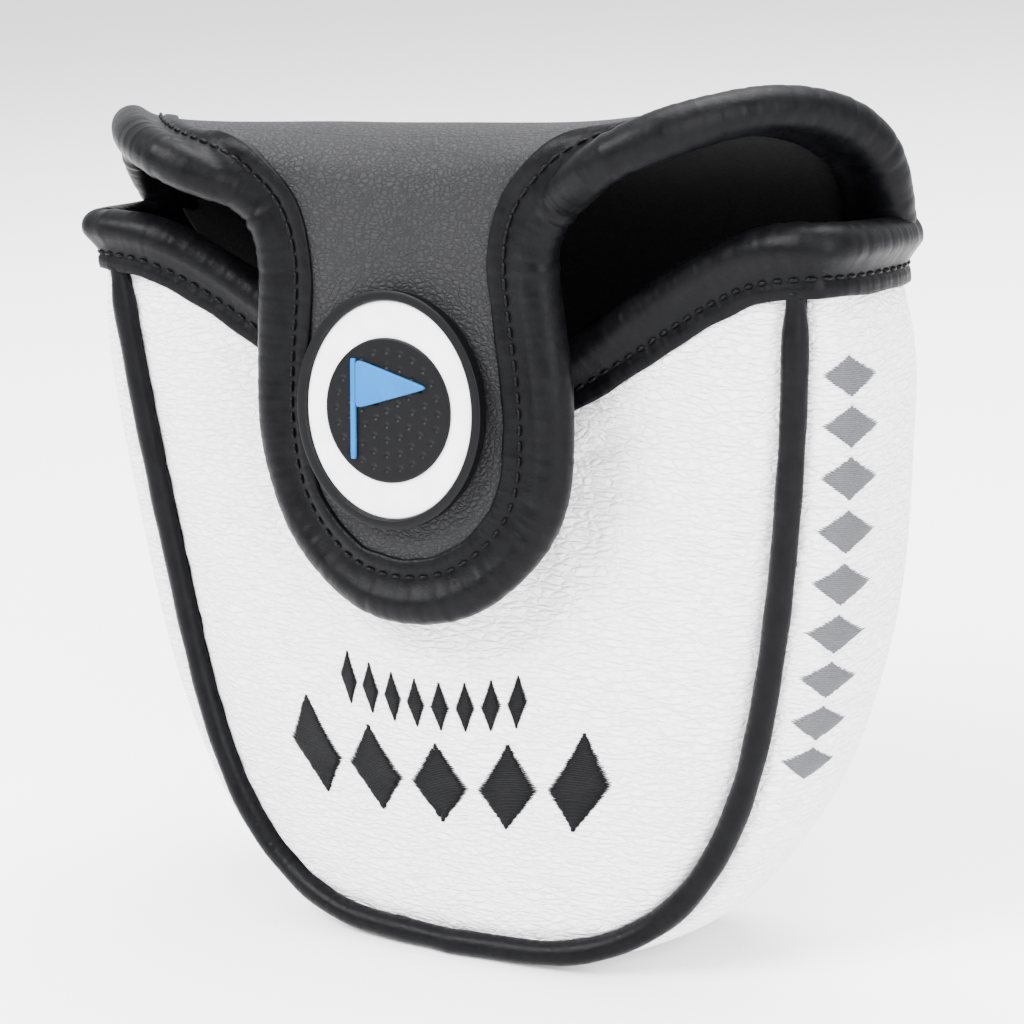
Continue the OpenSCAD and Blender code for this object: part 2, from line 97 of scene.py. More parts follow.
# Flap outline from the back panel's top edge over the folds to the tip:
# edge X, edge Y, edge Z, middle Y, middle Z
FLAP_ROWS = [
    [63.8, 19.82, 115.4, 25.82, 113.4],
    [66.0, 17.82, 122.2, 25.42, 121.6],
    [66.6, 15.22, 128.8, 20.82, 130.4],
    [65.4, 11.42, 134.8, 11.42, 135.6],
    [61.8, 5.62, 139.6, 6.02, 137.3],
    [57.0, -0.78, 141.8, 0.82, 137.8],
    [51.8, -7.98, 142.3, -4.98, 137.4],
    [45.5, -15.18, 140.9, -9.98, 136.2],
    [37.2, -18.38, 138.5, -13.38, 134.6],
    [29.6, -18.78, 135.4, -15.68, 132.8],
    [23.8, -17.58, 130.4, -16.98, 130.4],
    [20.6, -17.78, 126.0, -17.18, 126.0],
    [19.3, -17.88, 120.5, -17.38, 120.5],
    [19.4, -17.98, 115.2, -17.58, 115.0],
    [20.2, -18.18, 109.0, -17.98, 108.6],
    [21.3, -18.88, 101.0, -18.78, 100.5],
    [21.8, -19.38, 92.5, -19.88, 92.0],
    [21.4, -19.88, 84.5, -20.98, 83.8],
    [18.7, -20.58, 77.0, -22.18, 76.0],
    [11.5, -22.38, 71.0, -23.68, 68.3],
]
FLAP_LAST = len(FLAP_ROWS) - 1
REAR_FOLD = 3
MID_BRIDGE = 6.6            # flap row where the rear pieces and the strap pieces meet
FRONT_FOLD = 10

# ---- Curves ----


def smooth(x):
    c = np.clip(x, 0, 1)
    return c * c * (3 - 2 * c)


def unit(v):
    return v / np.maximum(np.linalg.norm(v, axis=-1, keepdims=True), 1e-9)


def curve(rows, t, rounding=1.0):
    """Smooth curve along rows, t from 0 to 1.

    rounding 0 goes through every row, 1 is a rounder B-spline.
    """
    rows = np.asarray(rows, float)
    padded = np.vstack([2 * rows[0] - rows[1], rows, 2 * rows[-1] - rows[-2]])
    last = len(rows) - 1
    q = np.clip(np.asarray(t, float), 0, 1) * last
    i = np.minimum(q.astype(int), last - 1)
    f = (q - i)[..., None]
    a, b, c, d = (padded[i + k] for k in range(4))
    through = 0.5 * (
        2 * b + (c - a) * f + (2 * a - 5 * b + 4 * c - d) * f**2 + (3 * b - a - 3 * c + d) * f**3
    )
    near = (
        a * (1 - f) ** 3
        + b * (3 * f**3 - 6 * f**2 + 4)
        + c * (-3 * f**3 + 3 * f**2 + 3 * f + 1)
        + d * f**3
    ) / 6
    return through + (near - through) * rounding


def profile(rows, x):
    """Value at x of a curve given as [position, value] rows."""
    rows = np.asarray(rows, float)
    t = np.interp(x, rows[:, 0], np.arange(len(rows)) / (len(rows) - 1))
    return curve(rows[:, 1:], t)[..., 0]


def run_length(path):
    """Length along path at each of its points."""
    return np.concatenate([[0], np.cumsum(np.linalg.norm(np.diff(path, axis=0), axis=1))])


def full_turn(sides):
    return np.linspace(0, 2 * np.pi, sides, endpoint=False)


# ---- Surfaces. Each takes arrays and gives points in mm ----


def front_seam(t):
    s = curve(SEAM_OUTLINE, np.abs(t), 0)
    x = np.sign(t) * SEAM_HALF_W * s[..., 0]
    return np.stack([x, FRONT_Y + FRONT_SWEEP * s[..., 2], BASE_Z + SEAM_H * s[..., 1]], -1)


def back_seam(t):
    s = curve(SEAM_OUTLINE, np.abs(t), 0)
    width = SEAM_HALF_W + BACK_FLARE * smooth(s[..., 1] / 0.6)
    height = SEAM_H - BACK_DROP
    x = np.sign(t) * width * s[..., 0]
    return np.stack([x, BACK_Y + BACK_SWEEP * s[..., 2], BASE_Z + height * s[..., 1]], -1)


def seam_out(t):
    """Direction out of the outline, in the upright plane."""
    step = 0.004
    d = front_seam(np.minimum(t + step, 1)) - front_seam(np.maximum(t - step, -1))
    return unit(np.stack([d[..., 2], 0 * d[..., 0], -d[..., 0]], -1))


def panel_edge(seam, v, inset):
    t = FIRST_ROW + (1 - FIRST_ROW) * v
    return seam(t) - seam_out(t) * inset


def front_surface(u, v, inset):
    edge = panel_edge(front_seam, v, inset)
    x, y, z = edge[..., 0], edge[..., 1], edge[..., 2]
    middle_y = profile(FRONT_MIDDLE, (z - BASE_Z) / SEAM_H)
    a = np.abs(u)
    drop = LIP_DIP * np.maximum(np.cos(np.pi / 2 * a), 0) ** 1.55 * smooth((v - 0.25) / 0.75)
    sink = LIP_SINK * np.maximum(np.sin(np.pi * a), 0) ** 1.5 * smooth((v - 0.45) / 0.55)
    dip = (z - BASE_Z - inset) * (1 - a * a) * (1 - v) ** 6
    return np.stack([u * x, y + (middle_y - y) * (1 - a**PANEL_CROWN) + sink, z - dip - drop], -1)


def back_surface(u, v, inset):
    edge = panel_edge(back_seam, v, inset)
    x, y, z = edge[..., 0], edge[..., 1], edge[..., 2]
    middle_y = profile(BACK_MIDDLE, (z - BASE_Z) / SEAM_H)
    a = np.abs(u)
    dip = (z - BASE_Z - inset) * (1 - a * a) * (1 - v) ** 6
    top_dip = BACK_TOP_DIP * (1 - a * a) * v**3
    return np.stack([u * x, y + (middle_y - y) * (1 - a**PANEL_CROWN), z - dip - top_dip], -1)


def flap_surface(u, row):
    r = curve(FLAP_ROWS, row / FLAP_LAST)
    a = u * u
    y = r[..., 3] + (r[..., 1] - r[..., 3]) * a
    z = r[..., 4] + (r[..., 2] - r[..., 4]) * a
    return np.stack([u * r[..., 0], y, z], -1)


def gusset_surface(u, v, inset):
    f, b = front_seam(u), back_seam(u)
    height = (f[..., 2] - BASE_Z) / SEAM_H
    stand = profile(GUSSET_STAND, height)
    start = np.arcsin(np.minimum(inset / stand, 0.95) ** (ROUNDNESS / 2))
    angle = start + v * (np.pi - 2 * start)
    c = np.cos(angle)
    w = ((1 - np.sign(c) * np.abs(c) ** (2 / ROUNDNESS)) / 2)[..., None]
    rise = (stand * np.sin(angle) ** (2 / ROUNDNESS))[..., None]
    return f + (b - f) * w + seam_out(u) * rise


def normals(points, side):
    """Unit normals of a grid of points."""
    dv, du = np.gradient(points, axis=(0, 1))
    return side * unit(np.cross(du, dv))


# The cover in the photo isn't quite even: its left ear sits a little low
LEFT_EAR_DROP = -2.5
RIGHT_EAR_RISE = 0.5
EAR_FROM_Z, EAR_FADE_Z = 120, 14
EAR_FROM_X, EAR_FADE_X = 18, 40


def warp(points):
    """Shifts the two ears up or down, alike in every piece."""
    points = np.array(points, float)
    high = smooth((points[..., 2] - EAR_FROM_Z) / EAR_FADE_Z)
    left = smooth((-points[..., 0] - EAR_FROM_X) / EAR_FADE_X)
    right = smooth((points[..., 0] - EAR_FROM_X) / EAR_FADE_X)
    points[..., 2] += high * (LEFT_EAR_DROP * left + RIGHT_EAR_RISE * right)
    return points


# ---- Meshes ----


def make_mesh(name, points, faces, material, triangles=None):
    """A smooth-shaded object from points in mm, an array of quads and perhaps one of triangles."""
    rest = np.asarray(points, np.float32).reshape(-1, 3)
    points = warp(rest).astype(np.float32)
    faces = np.asarray(faces, np.int32)
    loops, starts, totals = faces.ravel(), np.arange(0, faces.size, 4), np.full(len(faces), 4)
    if triangles is not None:
        triangles = np.asarray(triangles, np.int32)
        starts = np.concatenate([starts, faces.size + np.arange(0, triangles.size, 3)])
        totals = np.concatenate([totals, np.full(len(triangles), 3)])
        loops = np.concatenate([loops, triangles.ravel()])
    mesh = bpy.data.meshes.new(name)
    mesh.vertices.add(len(points))
    mesh.vertices.foreach_set("co", (points * MM).ravel())
    mesh.loops.add(len(loops))
    mesh.loops.foreach_set("vertex_index", loops.astype(np.int32))
    mesh.polygons.add(len(totals))
    mesh.polygons.foreach_set("loop_start", starts.astype(np.int32))
    mesh.polygons.foreach_set("loop_total", totals.astype(np.int32))
    mesh.polygons.foreach_set("use_smooth", np.ones(len(totals), bool))
    mesh.update(calc_edges=True)
    mesh.validate()
    attribute = mesh.attributes.new("rest", "FLOAT_VECTOR", "POINT")
    attribute.data.foreach_set("vector", rest.ravel())
    mesh.materials.append(material)
    obj = bpy.data.objects.new(name, mesh)
    bpy.context.scene.collection.objects.link(obj)
    return obj


def grid_quads(rows, columns, wrap=False):
    """Quads of a grid of rows by columns points; wrap joins the last column to the first."""
    across = np.arange(columns if wrap else columns - 1)
    i, j = np.meshgrid(np.arange(rows - 1), across, indexing="ij")
    k = (j + 1) % columns
    here, above = i * columns, (i + 1) * columns
    return np.stack([here + j, here + k, above + k, above + j], -1).reshape(-1, 4)


def shell(name, outer, inner, side, material):
    """A closed pad between two grids of points."""
    rows, columns = outer.shape[:2]
    count = rows * columns
    quads = grid_quads(rows, columns)
    rim = np.concatenate([
        np.arange(columns),
        np.arange(1, rows) * columns + columns - 1,
        np.arange(columns - 2, -1, -1) + (rows - 1) * columns,
        np.arange(rows - 2, 0, -1) * columns,
    ])
    after = np.roll(rim, -1)
    edge = np.stack([after, rim, rim + count, after + count], -1)
    faces = np.concatenate([quads, quads[:, ::-1] + count, edge])
    if side < 0:
        faces = faces[:, ::-1]
    points = np.concatenate([outer.reshape(-1, 3), inner.reshape(-1, 3)])
    return make_mesh(name, points, faces, material)


def sweep(name, rings, material, capped=True):
    """A tube through rings of points, an array of rings by sides by 3.

    It is closed with a cap at each end unless capped is False.
    """
    count, sides = rings.shape[:2]
    points = rings.reshape(-1, 3)
    faces = grid_quads(count, sides, wrap=True)
    if not capped:
        return make_mesh(name, points, faces, material)
    points = np.vstack([points, rings[0].mean(0), rings[-1].mean(0)])
    k = np.arange(sides)
    after = (k + 1) % sides
    last = (count - 1) * sides
    start = np.stack([after, k, np.full(sides, len(points) - 2)], -1)
    end = np.stack([last + k, last + after, np.full(sides, len(points) - 1)], -1)
    return make_mesh(name, points, faces, material, np.vstack([start, end]))


def round_rings(path, radius, sides, up):
    """Rings of a round tube along path. radius is a number, or one value per ring and side."""
    tangent = unit(np.gradient(path, axis=0))
    a = unit(np.cross(tangent, np.broadcast_to(np.asarray(up, float), path.shape)))
    b = np.cross(a, tangent)
    angle = full_turn(sides)[None, :, None]
    radius = np.broadcast_to(np.asarray(radius, float), (len(path), sides))[..., None]
    return path[:, None] + radius * (np.cos(angle) * a[:, None] + np.sin(angle) * b[:, None])


def strands(name, paths, radius, sides, material):
    """Many short threads in one mesh, each tapered at its ends.

    paths is an array of threads by points by 3.
    """
    count, rings = paths.shape[:2]
    tangent = unit(np.gradient(paths, axis=1))
    upright = np.abs(tangent[..., 2:3]) > 0.8
    helper = np.where(upright, np.array([1.0, 0, 0]), np.array([0, 0, 1.0]))
    a = unit(np.cross(tangent, helper))
    b = np.cross(a, tangent)
    s = np.linspace(-1, 1, rings)
    taper = np.sqrt(np.clip(1 - np.abs(s) ** 6, 0.05, 1))[None, :, None, None]
    angle = full_turn(sides)[None, None, :, None]
    around = np.cos(angle) * a[:, :, None] + np.sin(angle) * b[:, :, None]
    points = paths[:, :, None] + radius * taper * around
    faces = grid_quads(rings, sides, wrap=True)
    size = rings * sides
    shift = (np.arange(count) * size)[:, None, None]
    faces = (faces[None] + shift).reshape(-1, 4)
    k = np.arange(1, sides - 1)
    first = np.stack([k + 1, k, 0 * k], -1)
    last = np.stack([0 * k, k, k + 1], -1) + size - sides
    caps = (np.concatenate([first, last])[None] + shift).reshape(-1, 3)
    return make_mesh(name, points, faces, material, caps)


def spread_evenly(path, pitch):
    """Positions along path, as shares of its rows, one pitch apart."""
    length = run_length(path)
    count = max(int(length[-1] / pitch), 2)
    return np.interp(np.linspace(0, length[-1], count + 1), length, np.arange(len(path)))


def at_rows(values, rows):
    """Values of an array of rows at fractional row numbers."""
    i = np.minimum(rows.astype(int), len(values) - 2)
    f = (rows - i)[:, None]
    return values[i] * (1 - f) + values[i + 1] * f


def ripple(s, seed, pitches, power=1.0):
    """Irregular wrinkles along s in mm: waves of slightly wandering pitch, from -1 to 1."""
    random = np.random.default_rng(seed)
    total = 0
    for pitch in pitches:
        size = random.uniform(0.5, 1.5)
        wander = size * np.sin(s / (pitch * random.uniform(5, 9)) + random.uniform(0, 6))
        total = total + np.sin(2 * np.pi * s / pitch + 2.2 * wander + random.uniform(0, 6))
    total = total / len(pitches)
    return np.sign(total) * np.abs(total) ** power


# ---- Materials ----


def material(name, color, roughness, **settings):
    """A Principled material and a small kit for adding nodes to it."""
    made = bpy.data.materials.new(name)
    made.use_nodes = True
    nodes, links = made.node_tree.nodes, made.node_tree.links
    shader = nodes["Principled BSDF"]
    shader.inputs["Base Color"].default_value = (*color, 1)
    shader.inputs["Roughness"].default_value = roughness
    for key, value in settings.items():
        shader.inputs[key.replace("_", " ")].default_value = value
    made.diffuse_color = (*color, 1)
    return made, nodes, links, shader


def add_node(nodes, kind, **values):
    made = nodes.new(kind)
    for key, value in values.items():
        if hasattr(made, key):
            setattr(made, key, value)
        else:
            made.inputs[key.replace("_", " ")].default_value = value
    return made


def rest_coordinates(nodes):
    return add_node(nodes, "ShaderNodeAttribute", attribute_name="rest").outputs["Vector"]


def math_node(nodes, links, operation, first, second=None):
    made = nodes.new("ShaderNodeMath")
    made.operation = operation
    for socket, value in zip(made.inputs, (first, second)):
        if isinstance(value, (int, float)):
            socket.default_value = value
        elif value is not None:
            links.new(value, socket)
    return made.outputs[0]


def ramp(nodes, links, source, stops):
    made = nodes.new("ShaderNodeValToRGB")
    elements = made.color_ramp.elements
    while len(elements) < len(stops):
        elements.new(0.5)
    for element, (place, color) in zip(elements, stops):
        element.position = place
        element.color = (*color, 1) if len(color) == 3 else color
    links.new(source, made.inputs["Fac"])
    return made.outputs["Color"]


def noise(nodes, links, coordinates, scale, detail=2.0, roughness=0.5):
    made = add_node(nodes, "ShaderNodeTexNoise", Scale=scale, Detail=detail, Roughness=roughness)
    links.new(coordinates, made.inputs["Vector"])
    return made


def add_bump(nodes, links, shader, height, distance):
    """Bump of distance mm from a height socket."""
    bump = add_node(nodes, "ShaderNodeBump", Strength=1.0, Distance=distance * MM)
    links.new(height, bump.inputs["Height"])
    links.new(bump.outputs["Normal"], shader.inputs["Normal"])


def leather(name, color, dark, roughness, cell, stretch, grain_height, specular):
    """Embossed leather: soft pillows, fine pores, a slightly uneven tone and painted shade darkening
    the creases between the pillows.

    The pillows are about cell mm across, and stretch times that sideways.
    """
    made, nodes, links, shader = material(name, color, roughness, Specular_IOR_Level=specular)
    rest = rest_coordinates(nodes)
    drawn = add_node(nodes, "ShaderNodeVectorMath", operation="MULTIPLY")
    links.new(rest, drawn.inputs[0])
    drawn.inputs[1].default_value = (1 / stretch, 1 / stretch, 1)
    wander = noise(nodes, links, drawn.outputs[0], 0.45 / cell, 3.0, 0.6)
    shift = add_node(nodes, "ShaderNodeVectorMath", operation="SCALE")
    links.new(wander.outputs["Color"], shift.inputs[0])
    shift.inputs["Scale"].default_value = 1.5 * cell
    moved = add_node(nodes, "ShaderNodeVectorMath", operation="ADD")
    links.new(drawn.outputs[0], moved.inputs[0])
    links.new(shift.outputs[0], moved.inputs[1])
    cells = add_node(nodes, "ShaderNodeTexVoronoi", feature="DISTANCE_TO_EDGE", Scale=1 / cell)
    small = add_node(nodes, "ShaderNodeTexVoronoi", feature="DISTANCE_TO_EDGE", Scale=2.1 / cell)
    for pattern in (cells, small):
        links.new(moved.outputs[0], pattern.inputs["Vector"])
    pillow = ramp(
        nodes, links, cells.outputs["Distance"],
        [(0.0, (0, 0, 0)), (0.12, (0.4, 0.4, 0.4)), (0.35, (0.85, 0.85, 0.85)), (0.7, (1, 1, 1))],
    )
    minor = ramp(nodes, links, small.outputs["Distance"], [(0.0, (0, 0, 0)), (0.25, (1, 1, 1))])
    fine_grain = noise(nodes, links, rest, 2.5 / cell, 4.0, 0.65)
    minor = math_node(nodes, links, "MULTIPLY", minor, 0.16)
    height = math_node(nodes, links, "ADD", pillow, minor)
    grain = math_node(nodes, links, "MULTIPLY", fine_grain.outputs["Fac"], 0.4)
    height = math_node(nodes, links, "ADD", height, grain)
    add_bump(nodes, links, shader, height, grain_height)
    tone = noise(nodes, links, rest, 0.06, 3.0)
    # Painted shade: the base colour darkens towards the pillow edges, as shade in the grain's creases,
    # mixed with a random uneven tone
    crease_shade_and_tone = math_node(nodes, links, "MULTIPLY", pillow, 0.7)
    cloud = math_node(nodes, links, "MULTIPLY", tone.outputs["Fac"], 0.5)
    crease_shade_and_tone = math_node(nodes, links, "ADD", crease_shade_and_tone, cloud)
    links.new(ramp(nodes, links, crease_shade_and_tone, [(0.1, dark), (0.8, color)]), shader.inputs["Base Color"])
    duller = min(roughness + 0.15, 1)
    rough = ramp(nodes, links, pillow, [(0.0, (duller,) * 3), (1.0, (roughness,) * 3)])
    links.new(rough, shader.inputs["Roughness"])
    return made


def smooth_leather(name):
    """Smooth black binding: a fine even grain, faint scuffs and a soft shine."""
    made, nodes, links, shader = material(name, BLACK, 0.38, Specular_IOR_Level=0.06)
    rest = rest_coordinates(nodes)
    fine = noise(nodes, links, rest, 3.0, 4.0, 0.65)
    broad = noise(nodes, links, rest, 0.35, 3.0)
    swell = math_node(nodes, links, "MULTIPLY", broad.outputs["Fac"], 2.5)
    height = math_node(nodes, links, "ADD", fine.outputs["Fac"], swell)
    add_bump(nodes, links, shader, height, 0.05)
    tones = [(0.3, (0.0014, 0.0014, 0.0018)), (0.75, (0.003, 0.003, 0.0037))]
    links.new(ramp(nodes, links, broad.outputs["Fac"], tones), shader.inputs["Base Color"])
    scuffs = [(0.3, (0.33,) * 3), (0.7, (0.45,) * 3)]
    links.new(ramp(nodes, links, broad.outputs["Fac"], scuffs), shader.inputs["Roughness"])
    return made


def plush_lining(name):
    """Short black velour: dark, matt and fibrous, with a sheen at grazing angles."""
    made, nodes, links, shader = material(
        name, (0.003, 0.003, 0.0035), 0.95,
        Specular_IOR_Level=0.05, Sheen_Weight=0.03, Sheen_Roughness=0.5,
    )
    rest = rest_coordinates(nodes)
    pile = noise(nodes, links, rest, 2.4, 5.0, 0.75)
    add_bump(nodes, links, shader, pile.outputs["Fac"], 0.35)
    tones = [(0.3, (0.0015, 0.0015, 0.0015)), (0.7, (0.005, 0.005, 0.0055))]
    links.new(ramp(nodes, links, pile.outputs["Fac"], tones), shader.inputs["Base Color"])
    return made


def thread(name, color, shine):
    """Polyester thread, with a slight tone change along it."""
    made, nodes, links, shader = material(name, color, shine, Specular_IOR_Level=0.07)
    rest = rest_coordinates(nodes)
    twist = noise(nodes, links, rest, 4.0, 2.0)
    lighter = tuple(min(c * 1.5, 1) for c in color)
    tones = [(0.35, color), (0.75, lighter)]
    links.new(ramp(nodes, links, twist.outputs["Fac"], tones), shader.inputs["Base Color"])
    add_bump(nodes, links, shader, twist.outputs["Fac"], 0.04)
    return made


def rubber(name, color, roughness, speckle=0.02):
    """Moulded soft plastic with a very fine matt texture."""
    made, nodes, links, shader = material(name, color, roughness, Specular_IOR_Level=0.1)
    rest = rest_coordinates(nodes)
    fine = noise(nodes, links, rest, 6.0, 3.0, 0.6)
    cloud = noise(nodes, links, rest, 0.25, 2.0)
    add_bump(nodes, links, shader, fine.outputs["Fac"], speckle)
    darker = tuple(c * 0.88 for c in color)
    tones = [(0.3, darker), (0.7, color)]
    links.new(ramp(nodes, links, cloud.outputs["Fac"], tones), shader.inputs["Base Color"])
    return made


def steel(name):
    made, nodes, links, shader = material(name, (0.6, 0.6, 0.62), 0.35, Metallic=1.0)
    coordinates = add_node(nodes, "ShaderNodeTexCoord").outputs["Object"]
    brushed = noise(nodes, links, coordinates, 900.0, 3.0)
    brushing = [(0.3, (0.28,) * 3), (0.7, (0.45,) * 3)]
    links.new(ramp(nodes, links, brushed.outputs["Fac"], brushing), shader.inputs["Roughness"])
    return made


WHITE = (0.88, 0.87, 0.875)
# The crease colours are painted shade for the creases between the leather's pillows
WHITE_CREASE_SHADE = (0.78, 0.765, 0.77)
GREY = (0.0135, 0.0135, 0.0147)
GREY_CREASE_SHADE = (0.0062, 0.0062, 0.0068)
BLACK = (0.002, 0.002, 0.0025)

white_leather = leather("white_leather", WHITE, WHITE_CREASE_SHADE, 0.5, 1.05, 2.6, 0.4, 0.35)
grey_leather = leather("grey_leather", GREY, GREY_CREASE_SHADE, 0.42, 0.8, 1.3, 0.16, 0.12)
black_leather = smooth_leather("black_leather")
plush = plush_lining("plush_lining")
black_thread = thread("black_thread", (0.002, 0.002, 0.0024), 0.34)
grey_thread = thread("grey_thread", (0.07, 0.072, 0.077), 0.33)
badge_black = rubber("badge_black", (0.002, 0.002, 0.0024), 0.42)
badge_white = rubber("badge_white", (0.84, 0.84, 0.85), 0.5)
badge_blue = rubber("badge_blue", (0.001, 0.1, 0.32), 0.4)
magnet_steel = steel("magnet_steel")

# ---- Skins: each surface with the relief of its padded leather ----


def surface_normal(surface, u, v, side, reach=0.002, low=0.0, high=1.0):
    """Outward normals of a surface at arrays of u and v."""
    du = surface(np.minimum(u + reach, 1), v) - surface(np.maximum(u - reach, -1), v)
    dv = surface(u, np.minimum(v + reach, high)) - surface(u, np.maximum(v - reach, low))
    return side * unit(np.cross(du, dv))


def wave(p, pitch, seed):
    """Slow unevenness over space, from -1 to 1."""
    random = np.random.default_rng(seed)
    total = 0
    for _ in range(5):
        direction = random.normal(size=3)
        direction /= np.linalg.norm(direction)
        length = pitch * random.uniform(0.7, 1.5)
        total = total + np.sin(2 * np.pi * (p @ direction) / length + random.uniform(0, 6))
    return total / 5


def front(u, v):
    return front_surface(u, v, SEAM_INSET)


def back_piece(u, v):
    """The back panel up to v = BACK_SHARE, and above it the ears.

    v = 1 is the rear fold, and the flap goes on past it.
    """
    u, v = np.broadcast_arrays(np.asarray(u, float), np.asarray(v, float))
    w = np.clip(v / BACK_SHARE, 0, 1)
    low = back_surface(u, w, SEAM_INSET)
    rise = flap_surface(u, 0 * v) - back_surface(u, 0 * v + 1, SEAM_INSET)
    panel = low + rise * (w**4)[..., None]
    flap = flap_surface(u, np.maximum(v - BACK_SHARE, 0) / (1 - BACK_SHARE) * REAR_FOLD)
    return np.where((v < BACK_SHARE)[..., None], panel, flap)


def gusset(u, v):
    p = gusset_surface(u, v, SEAM_INSET)
    p[..., 2] = np.maximum(p[..., 2], 0)
    return p


def seam_dip(distance, along, depth, reach, pitch, seed):
    """Leather drawn down beside a seam, with small puckers along it."""
    pull = np.exp(-((distance / reach) ** 2))
    wide = np.exp(-((distance / (2.2 * reach)) ** 2))
    puckers = 0.5 + 0.5 * ripple(along, seed, (pitch, 1.7 * pitch))
    return -depth * pull - 0.3 * depth * wide * puckers


STRAP_PRESS_X, STRAP_PRESS_Z = 20.0, 84.0     # where the strap presses on the front
GUSSET_HALF_LENGTH = 165.0
BADGE_MIDDLE_Z = 95.5


def to_side(p, u):
    """Distance from the panel's nearer side edge."""
    return (1 - np.abs(u)) * np.abs(p[..., 0]) / np.maximum(np.abs(u), 0.02)


def front_skin(u, v):
    p = front(u, v)
    side = to_side(p, u)
    bottom = p[..., 2] - front(u, 0 * v)[..., 2]
    top = front(u, 0 * v + 1)[..., 2] - p[..., 2]
    relief = seam_dip(side, p[..., 2], 0.9, 2.0, 5.0, 1)
    relief = relief + seam_dip(bottom, p[..., 0], 0.9, 2.0, 5.0, 2)
    relief = relief + seam_dip(top, p[..., 0], 0.5, 2.5, 4.0, 3)
    relief = relief + 0.35 * wave(p, 38.0, 4) * smooth(side / 10) * smooth(top / 10)
    # Soft folds spread from the strap
    x, z = p[..., 0] - STRAP_PRESS_X, p[..., 2] - STRAP_PRESS_Z
    away = np.hypot(x, z)
    turn = np.arctan2(z, x)
    fan = np.sin(9.0 * turn + 0.06 * away) * np.exp(-((away - 16) / 14) ** 2) * smooth((x + 14) / 12)
    relief = relief + 0.3 * fan
    return p + surface_normal(front, u, v, 1) * relief[..., None]


def gusset_skin(u, v):
    p = gusset(u, v)
    f = gusset_surface(u, 0 * v, SEAM_INSET)
    b = gusset_surface(u, 0 * v + 1, SEAM_INSET)
    along = u * GUSSET_HALF_LENGTH
    near = np.linalg.norm(p - f, axis=-1)
    far = np.linalg.norm(p - b, axis=-1)
    relief = seam_dip(near, along, 0.7, 1.8, 5.0, 5) + seam_dip(far, along, 0.7, 1.8, 5.0, 6)
    relief = relief + 0.3 * wave(p, 34.0, 7) * smooth(near / 8) * smooth(far / 8)
    corner = smooth((np.abs(u) - 0.93) / 0.07)
    relief = relief - 0.9 * corner
    grounded = smooth((p[..., 2] - 0.2) / 2.5)
    return p + surface_normal(gusset, u, v, -1) * (relief * grounded)[..., None]


def back_skin(u, v):
    p = back_piece(u, v)
    side = to_side(p, u)
    bottom = p[..., 2] - back_piece(u, 0 * v)[..., 2]
    below_ears = smooth((0.75 - v) / 0.1)
    relief = seam_dip(side, p[..., 2], 0.9, 2.0, 5.0, 8) * below_ears
    relief = relief + seam_dip(bottom, p[..., 0], 0.9, 2.0, 5.0, 9)
    relief = relief + 0.35 * wave(p, 40.0, 10) * smooth(side / 10)
    return p + surface_normal(back_piece, u, v, -1, high=2.2) * relief[..., None]


def flap_skin(u, row):
    p = flap_surface(u, row)
    side = to_side(p, u)
    under_badge = smooth((np.hypot(p[..., 0], p[..., 2] - BADGE_MIDDLE_Z) - 18) / 6)
    tip = smooth((FLAP_LAST - row) / 1.5)
    relief = 0.35 * wave(p, 40.0, 10) * smooth(side / 10) * under_badge * tip
    return p + surface_normal(flap_surface, u, row, -1, 0.01, 0, FLAP_LAST) * relief[..., None]


def soft_normals(points, side, passes):
    """Normals of a grid, smoothed so that an inner layer doesn't fold over at a tight bend."""
    n = normals(points, side)
    for _ in range(passes):
        for axis in (0, 1):
            padded = np.concatenate([np.take(n, [0], axis), n, np.take(n, [-1], axis)], axis)
            size = n.shape[axis]
            parts = [np.take(padded, np.arange(k, k + size), axis) for k in range(3)]
            n = unit(0.25 * parts[0] + 0.5 * parts[1] + 0.25 * parts[2])
    return n


def grid(surface, rows, columns, low=0.0, high=1.0):
    u, v = np.meshgrid(np.linspace(-1, 1, columns), np.linspace(low, high, rows))
    return surface(u, v)


def layers(name, skin, side, leather_material, passes=24):
    """The padded leather and the lining inside it, as two closed pieces."""
    n = soft_normals(skin, side, passes)
    inner = skin - n * PAD_T
    pad = shell(f"{name}_pad", skin, inner, side, leather_material)
    lining = shell(f"{name}_plush_lining", inner, skin - n * WALL_T, side, plush)
    return pad, lining


FINE = 1.0


def fine(count):
    return int(count * FINE)


front_grid = grid(front_skin, fine(150), fine(220))
front_pad, front_lining = layers("front", front_grid, 1, white_leather)
gusset_grid = grid(gusset_skin, fine(56), fine(440))
gusset_pad, gusset_lining = layers("gusset", gusset_grid, -1, white_leather, 8)
back_top = BACK_SHARE + (1 - BACK_SHARE) * MID_BRIDGE / REAR_FOLD
rear_grid = grid(back_skin, fine(230), fine(180), 0.0, back_top)
rear_pad, rear_lining = layers("rear", rear_grid, -1, grey_leather)
strap_grid = grid(flap_skin, fine(180), fine(120), MID_BRIDGE, FLAP_LAST)
strap_pad, strap_lining = layers("strap", strap_grid, -1, grey_leather)

# ---- Binding: a padded roll along the open edges, with a strip that laps onto the leather ----


def edge_frame(surface, u, v, side, across_top, lift, high=1.0):
    """Middle of the binding beside a panel's edge, with the leather's normal there."""
    reach = 0.004
    du = surface(np.minimum(u + reach, 1), v) - surface(np.maximum(u - reach, -1), v)
    dv = surface(u, np.minimum(v + reach, high)) - surface(u, np.maximum(v - reach, 0))
    n = side * unit(np.cross(du, dv))
    across = unit(np.cross(du if across_top else dv, n))
    away = dv if across_top else np.sign(u)[..., None] * du
    across = across * np.sign((across * away).sum(-1, keepdims=True))
    return surface(u, v) + across * (BINDING_R + BINDING_GAP) + n * lift, n


